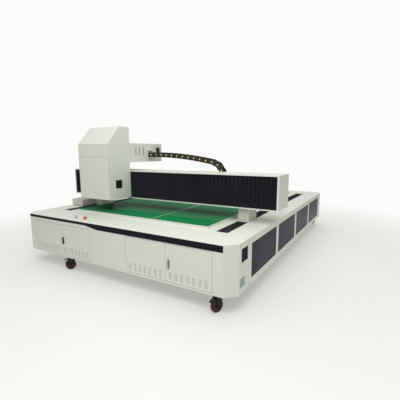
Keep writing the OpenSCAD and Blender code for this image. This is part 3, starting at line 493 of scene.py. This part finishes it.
def link_shape():
    """One link along +X from its near pivot: cheeks, waist, ribs, yellow pivot heads and cross bars."""
    shape = Shape()
    half = LINK_W / 2
    r = LINK_H / 2
    end = LINK_PITCH - r - END_PLAY
    outer_line = round_end(0, r, 270, 90) + [
        (end - END_BEVEL, r), (end, r - END_BEVEL), (end, END_BEVEL - r), (end - END_BEVEL, -r)]
    inner_r = r - CHEEK_STEP
    near, far = r + WAIST_PLAY, LINK_PITCH - r - WAIST_PLAY
    inner_line = round_end(LINK_PITCH, inner_r, -90, 90) + [(near, inner_r), (near, -inner_r)]
    rib = [share * LINK_PITCH for share in RIB_SHARES]
    rib_z = r - RIB_INSET
    for side in (-1, 1):
        y0, y1 = sorted((side * (half - CHEEK), side * half))
        shape.add(*prism(outer_line[::-1], y0, y1), LINK_PAINT)
        y0, y1 = sorted((side * (INNER_HALF - CHEEK), side * INNER_HALF))
        shape.add(*prism(inner_line[::-1], y0, y1), LINK_PAINT)
        y0, y1 = sorted((side * (INNER_HALF - CHEEK), side * (half - CHEEK)))
        shape.add(*box_faces((near, y0, -inner_r), (far, y1, inner_r)), LINK_PAINT)
        y0, y1 = sorted((side * half, side * (half + RIB_RISE)))
        shape.add(*box_faces((rib[0], y0, -rib_z), (rib[1], y1, rib_z)), LINK_PAINT)
        move = facing((0, side * half, 0), (0, side, 0))
        shape.add(*turned(PIVOT_HEAD, PIVOT_SIDES), PIVOT_PAINT, move)
    middle, bar_x, bar_y = LINK_PITCH / 2, BAR_SHARE * LINK_PITCH / 2, half - CHEEK / 2
    for z in (-r, r - CHEEK):
        low, high = (middle - bar_x, -bar_y, z), (middle + bar_x, bar_y, z + CHEEK)
        shape.add(*box_faces(low, high), LINK_PAINT)
    return shape


def chain_cable(shape, weights, route, aside):
    """One cable inside the chain, through the middle of every link."""
    n = CABLE_SIDES
    points, faces = [], []
    for i, place in enumerate(route):
        ahead = route[min(i + 1, LINKS)] - route[max(i - 1, 0)]
        up = Vector((-ahead.z, 0, ahead.x)).normalized()
        for k in range(n):
            a = 2 * math.pi * k / n
            across = Vector((0, aside + CABLE_R * math.cos(a), 0))
            points.append(place + across + up * CABLE_R * math.sin(a))
            weights.append(follow(i))
    for i in range(LINKS):
        for k in range(n):
            a, b = i * n + k, i * n + (k + 1) % n
            faces.append((a, b, b + n, a + n))
    faces.append(range(n - 1, -1, -1))
    faces.append(range(LINKS * n, (LINKS + 1) * n))
    shape.add(points, faces, CABLE_PAINT)


def drag_chain():
    """The links and cables, laid from the head over a bend to the tray; gives back the pivot at the head."""
    box_low, box_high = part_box("laser_box")
    low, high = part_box("drag_chain")
    middle = (low.y + high.y) / 2
    pivot = Vector((box_high.x - BRACKET_TO_PIVOT, middle, box_low.z + PIVOT_OVER_BOX))
    part = link_shape()
    shape, weights, route = Shape(), [], [pivot.copy()]
    for i in range(LINKS):
        move = Matrix.Translation(pivot) @ Matrix.Rotation(math.radians(-heading(i)), 4, "Y")
        shape.add_shape(part, move)
        step = follow(i + 1) - follow(i)
        weights += [follow(i) + step * p.x / LINK_PITCH for p in part.points]
        pivot = move @ Vector((LINK_PITCH, 0, 0))
        route.append(pivot.copy())
    for k in range(CABLES):
        chain_cable(shape, weights, route, (k - (CABLES - 1) / 2) * CABLE_PITCH)
    piece = shape.object("drag_chain_links", "chain_black", "pivot_yellow", "gasket_rubber", smooth=35)
    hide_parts("drag_chain")
    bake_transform(piece)
    weights = [min(1, max(0, w)) for w in weights]
    return route[0]


def chain_end(pivot):
    """The fixed half link on the head's bracket that the first link of the chain turns on."""
    shape = Shape()
    r = LINK_H / 2 - CHEEK_STEP
    back, foot = -PIVOT_TO_WALL, -LINK_H / 2
    line = round_end(0, r, -90, 90) + [(back, r), (back, foot), (foot, foot)]
    place = Matrix.Translation(pivot)
    for side in (-1, 1):
        y0, y1 = sorted((side * (INNER_HALF - CHEEK), side * INNER_HALF))
        shape.add(*prism(line[::-1], y0, y1), move=place)
    wall = (back, CHEEK - INNER_HALF, foot), (back + CHEEK, INNER_HALF - CHEEK, r)
    shape.add(*box_faces(*wall), move=place)
    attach(shape.object("chain_end", "chain_black", smooth=35), "head")


chain_end(drag_chain())


# Screws

SCREW = in_mm([(0, 1.2), (2.4, 1.2), (2.4, 2.7), (4.0, 2.5), (5.2, 1.3), (5.4, 0), (0, 0)])
SCREW_SIDES = 12
SCREW_INSET = 18 * MM
REAR_COLUMNS, REAR_INSET = 7, 130 * MM
CAP_T, CAP_INSET = 20 * MM, 60 * MM
BRACKET_L = 72 * MM
WINDOWS = 4
WINDOW_L, WINDOW_PITCH, WINDOW_LAP = 747 * MM, 830 * MM, 14 * MM

corner_low, corner_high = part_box("corner_panels")
pane_low, pane_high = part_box("side_windows")
first_window = pane_low.y + WINDOW_LAP


def screws(name, body, places):
    """Pan-head socket screws on one body, each a place and the way it faces."""
    shape = Shape()
    for place, normal in places:
        shape.add(*turned(SCREW, SCREW_SIDES), move=facing(place, normal))
    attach(shape.object(name, "screw_steel", smooth=40), body)


def inside(low, high, inset):
    """The two places at an inset from the ends of a length."""
    return low + inset, high - inset


def cover_screws():
    """Screws on the corner panels, on the pillars beside the windows and along the rear panel."""
    places = []
    for side in (-1, 1):
        columns = list(inside(corner_low.y, corner_high.y, SCREW_INSET))
        for i in range(WINDOWS + 1):
            columns.append(first_window + (i - 0.5) * WINDOW_PITCH + WINDOW_L / 2)
        for y in columns:
            for z in inside(corner_low.z, corner_high.z, SCREW_INSET):
                places.append(((side * corner_high.x, y, z), (side, 0, 0)))
    low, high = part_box("rear_panel")
    for i in range(REAR_COLUMNS):
        x = (i / (REAR_COLUMNS - 1) - 0.5) * 2 * (high.x - REAR_INSET)
        for z in inside(low.z, high.z, SCREW_INSET):
            places.append(((x, high.y, z), (0, 1, 0)))
    screws("cover_screws", "base", places)


def cap_screws():
    """Screws on the top and back of the beam's end caps."""
    low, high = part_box("beam_caps")
    places = []
    for side in (-1, 1):
        x = side * (high.x - CAP_T / 2)
        places += [((x, y, high.z), (0, 0, 1)) for y in inside(low.y, high.y, CAP_INSET)]
        places += [((x, high.y, z), (0, 1, 0)) for z in inside(low.z, high.z, CAP_INSET)]
    screws("cap_screws", "gantry", places)


def laser_box_screws():
    """Screws near the corners of the laser box's back."""
    low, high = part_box("laser_box")
    places = []
    for x in inside(low.x, high.x - BRACKET_L, SCREW_INSET):
        places += [((x, high.y, z), (0, 1, 0)) for z in inside(low.z, high.z, SCREW_INSET)]
    screws("laser_box_screws", "head", places)


cover_screws()
cap_screws()
laser_box_screws()


# Window seals, louvres and the bead on the head

SHEET = 3 * MM
SEAL_CORNER = 8 * MM
SEAL_SECTION = in_mm([(0, 0), (0, 2.4), (2, 3.2), (5, 3.2), (7, 2), (7, 0)])
VENTS, SLITS = 7, 6
VENT_W, VENT_EDGE, VENT_LOW = 30 * MM, 39 * MM, 26 * MM
SLIT_H, SLIT_PITCH = 6 * MM, 12 * MM
LEAF_SKIN = 2 * MM
BLADE_LAP, BLADE_RISE = 1.5 * MM, 4 * MM
BLADE_DEPTH, BLADE_T = 7 * MM, 1 * MM
DOORS = 4
BEAD_W, BEAD_PROUD, BEAD_DEPTH = 1.6 * MM, 0.2 * MM, 4 * MM


def window_seals():
    """Rubber seals round the panes, seated inside the openings of the side covers."""
    shape = Shape()
    size = (WINDOW_L, pane_high.z - pane_low.z - 2 * WINDOW_LAP)
    z = (pane_low.z + pane_high.z) / 2
    for side in (-1, 1):
        x = side * (corner_high.x - SHEET)
        for i in range(WINDOWS):
            y = first_window + i * WINDOW_PITCH + WINDOW_L / 2
            shape.add(*framed((x, y, z), (0, side, 0), (0, 0, 1), size, SEAL_CORNER, SEAL_SECTION))
    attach(shape.object("window_seals", "gasket_rubber", smooth=50), "base")


def louvre(shape, x, y, z):
    """One sloping blade behind a slit, from under its lower edge to above its upper edge."""
    front, back = y + LEAF_SKIN, y + LEAF_SKIN + BLADE_DEPTH
    foot, top = z - BLADE_LAP, z + SLIT_H + BLADE_RISE
    line = [(front, foot), (front + BLADE_T, foot), (back, top - 2 * BLADE_T), (back, top),
            (back - BLADE_T, top), (front, z)]
    half = VENT_W / 2 + BLADE_LAP
    move = Matrix.Translation((x, 0, 0)) @ Matrix.Rotation(math.pi / 2, 4, "Z")
    shape.add(*prism(line, -half, half), move=move)


def louvres(k):
    """The blades behind the slits of one door leaf."""
    low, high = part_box(f"door_leaf_{k}")
    first = low.x + VENT_EDGE + VENT_W / 2
    pitch = (high.x - low.x - 2 * VENT_EDGE - VENT_W) / (VENTS - 1)
    shape = Shape()
    for i in range(VENTS):
        for j in range(SLITS):
            louvre(shape, first + i * pitch, low.y, low.z + VENT_LOW + j * SLIT_PITCH)
    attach(shape.object(f"louvre_blades_{k}", "cover_paint"), f"door_{k}")


def cover_seal():
    """The dark bead in the seam round the front cover of the head."""
    low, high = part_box("head_cover")
    left, right, top = low.x - BEAD_W, high.x + BEAD_W, high.z + BEAD_W
    line = [(left, low.z), (left, top), (right, top), (right, low.z),
            (high.x, low.z), (high.x, high.z), (low.x, high.z), (low.x, low.z)]
    shape = Shape()
    shape.add(*prism(line, low.y - BEAD_PROUD, low.y + BEAD_DEPTH))
    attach(shape.object("cover_seal", "gasket_rubber"), "head")


window_seals()
for k in range(1, DOORS + 1):
    louvres(k)
cover_seal()


# Casters, lens, mat strip and locks

CASTERS = 4
CORE_RING = in_mm([(25, 13), (25, 15.6), (28, 16.4), (40, 16.4), (43, 15), (43, 13)])
CORE_SIDES = 32
CORE_RIBS = 6
CORE_RIB = Vector((26, -2, 15)) * MM, Vector((42, 2, 17.4)) * MM
AXLE_NUT = in_mm([(0, 26), (10.5, 26), (10.5, 31), (9, 32), (0, 32)])
NUT_SIDES = 6
LENS_DOME = in_mm([(0, -7), (14, -6.2), (26, -4), (36, 0), (40, 0), (40, 2), (0, 2)])
LENS_SIDES = 40
LENS_BACK = 85 * MM
STRIP_HALF, STRIP_CROWN = 5 * MM, 1.2 * MM
SHOULDER_HALF, SHOULDER_RISE = 0.8 * STRIP_HALF, 0.8 * MM
LOCK_BARREL = in_mm([(0, 0.8), (2, 0.8), (2, 1.6), (6, 1.6), (7, 0.8), (7, 0), (0, 0)])
LOCK_SIDES = 20
FACE_T = 1.2 * MM
# Half width of the grip's face at its middle, shoulder and end, with the height of the first and
# the distance of the others from the end of the grip
FACE_MIDDLE, FACE_SHOULDER, FACE_END = in_mm([(10.5, 4), (7.5, 7), (3.5, 2)])

joints = {joint["name"]: joint for joint in frame["joints"]}


def caster_trim(k):
    """The coloured wheel core on both sides of a wheel, and the nuts on the ends of its axle."""
    roll = joints[f"wheel_{k}_roll"]
    core, nuts = Shape(), Shape()
    for side in (-1, 1):
        move = facing(roll["pos_m"], side * Vector(roll["axis"]))
        core.add(*hoop(CORE_RING, CORE_SIDES), move=move)
        for i in range(CORE_RIBS):
            turn = Matrix.Rotation(2 * math.pi * i / CORE_RIBS, 4, "Z")
            core.add(*box_faces(*CORE_RIB), move=move @ turn)
        nuts.add(*turned(AXLE_NUT, NUT_SIDES), move=move)
    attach(core.object(f"wheel_core_{k}", "core_red", smooth=40), f"wheel_{k}")
    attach(nuts.object(f"axle_nuts_{k}", "caster_black"), f"caster_{k}")


def lens():
    """The convex scan lens under the focusing block."""
    low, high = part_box("focus_unit")
    shape = Shape()
    place = Matrix.Translation(((low.x + high.x) / 2, low.y + LENS_BACK, low.z))
    shape.add(*turned(LENS_DOME, LENS_SIDES), move=place)
    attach(shape.object("scan_lens", "lens_glass", smooth=40), "focus")


def mat_strip():
    """The crowned metal strip that closes the seam between the two mats."""
    (left_low, left_high), right_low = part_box("mat_left"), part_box("mat_right")[0]
    middle = Matrix.Translation(((left_high.x + right_low.x) / 2, 0, 0))
    gap = (right_low.x - left_high.x) / 2
    foot, top = left_low.z, left_high.z
    shoulder = top + SHOULDER_RISE
    line = [(-STRIP_HALF, top), (-gap, top), (-gap, foot), (gap, foot), (gap, top), (STRIP_HALF, top),
            (SHOULDER_HALF, shoulder), (0, top + STRIP_CROWN), (-SHOULDER_HALF, shoulder)]
    shape = Shape()
    shape.add(*prism(line, left_low.y, left_high.y), move=middle)
    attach(shape.object("mat_strip", "seam_aluminium"), "base")


def grip_face(length):
    """Outline of the grey face on a grip, from half the grip's length."""
    upper = [FACE_MIDDLE] + [(x, length - inset) for x, inset in (FACE_SHOULDER, FACE_END)]
    right = [(x, -z) for x, z in reversed(upper)] + upper
    return right + [(-x, z) for x, z in reversed(right)]


def latch_lock(k, grey):
    """The lock barrel in the middle of a latch and, on one latch, the grey face of its grip."""
    low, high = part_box(f"latch_{k}")
    middle = Vector(((low.x + high.x) / 2, low.y, (low.z + high.z) / 2))
    shape = Shape()
    shape.add(*turned(LOCK_BARREL, LOCK_SIDES), move=facing(middle, (0, -1, 0)))
    if grey:
        face = prism(grip_face(high.z - middle.z), -FACE_T, 0)
        shape.add(*face, paint=1, move=Matrix.Translation(middle))
    made = shape.object(f"latch_lock_{k}", "screw_steel", "handle_grey", smooth=40)
    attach(made, f"latch_{k}")


for k in range(1, CASTERS + 1):
    caster_trim(k)
lens()
mat_strip()
latch_lock(1, grey=False)
latch_lock(2, grey=True)


# Floor, light and camera

FLOOR_HALF = 30
FLOOR_FINISH = dict(color=(0.43, 0.43, 0.42), spread=0.008, rough=(0.5, 0.6), grain=40, cloud=0.4,
                    fade=(2.4, 5), Emission_Color=(1, 1, 0.92, 1), Emission_Strength=0.35)
SKY_COLOR = (1.0, 1.0, 0.99, 1)
SKY_AS_LIGHT, SKY_AS_SEEN = 0.48, 0.97
LAMP_TARGET = Vector((0, 0, 0.6))
SENSOR_W, FOCAL_LENGTH = 36, 27.37
EYE = (2.386, -4.085, 1.341)
YAW, PITCH, ROLL = (math.radians(angle) for angle in (30.738, -8.759, -0.186))


def floor():
    """A pale floor with a faint glow, which fades out far from the machine so that no horizon shows."""
    mesh = bpy.data.meshes.new("floor")
    h = FLOOR_HALF
    mesh.from_pydata([(-h, -h, 0), (h, -h, 0), (h, h, 0), (-h, h, 0)], [], [(0, 1, 2, 3)])
    mesh.materials.append(finish_of("floor_pale", **FLOOR_FINISH))
    made = bpy.data.objects.new("floor", mesh)
    bpy.context.collection.objects.link(made)


def sky():
    """White all round, brighter where the camera sees it than as the light on the machine."""
    world = bpy.data.worlds.new("studio")
    bpy.context.scene.world = world
    world.use_nodes = True
    tree = world.node_tree
    background = tree.nodes["Background"]
    background.inputs["Color"].default_value = SKY_COLOR
    rays = tree.nodes.new("ShaderNodeLightPath")
    strength = tree.nodes.new("ShaderNodeMapRange")
    strength.inputs["To Min"].default_value = SKY_AS_LIGHT
    strength.inputs["To Max"].default_value = SKY_AS_SEEN
    tree.links.new(rays.outputs["Is Camera Ray"], strength.inputs["Value"])
    tree.links.new(strength.outputs["Result"], background.inputs["Strength"])
    bpy.context.scene.view_settings.view_transform = "Standard"


def lamp(name, place, size, power, mirrored=True):
    """A square soft light, aimed at the middle of the machine, unseen except in what mirrors it."""
    data = bpy.data.lights.new(name, "AREA")
    data.shape = "SQUARE"
    data.size = size
    data.energy = power
    made = bpy.data.objects.new(name, data)
    made.location = place
    made.rotation_euler = (LAMP_TARGET - Vector(place)).to_track_quat("-Z", "Y").to_euler()
    made.visible_camera = False
    made.visible_glossy = mirrored
    bpy.context.collection.objects.link(made)


def camera():
    """The photo's view, fitted to the straight edges of the machine."""
    data = bpy.data.cameras.new("camera")
    data.sensor_width = SENSOR_W
    data.lens = FOCAL_LENGTH
    made = bpy.data.objects.new("camera", data)
    made.location = EYE
    turn = Matrix.Rotation(YAW, 4, "Z") @ Matrix.Rotation(math.pi / 2 + PITCH, 4, "X")
    made.rotation_euler = (turn @ Matrix.Rotation(ROLL, 4, "Z")).to_euler()
    bpy.context.collection.objects.link(made)
    bpy.context.scene.camera = made


floor()
sky()
lamp("key_light", place=(1.6, -3.4, 3.2), size=2, power=68)
lamp("top_light", place=(0, 0.4, 9), size=14, power=690)
lamp("back_light", place=(-2.5, 6.5, 1.8), size=3, power=45, mirrored=False)
camera()
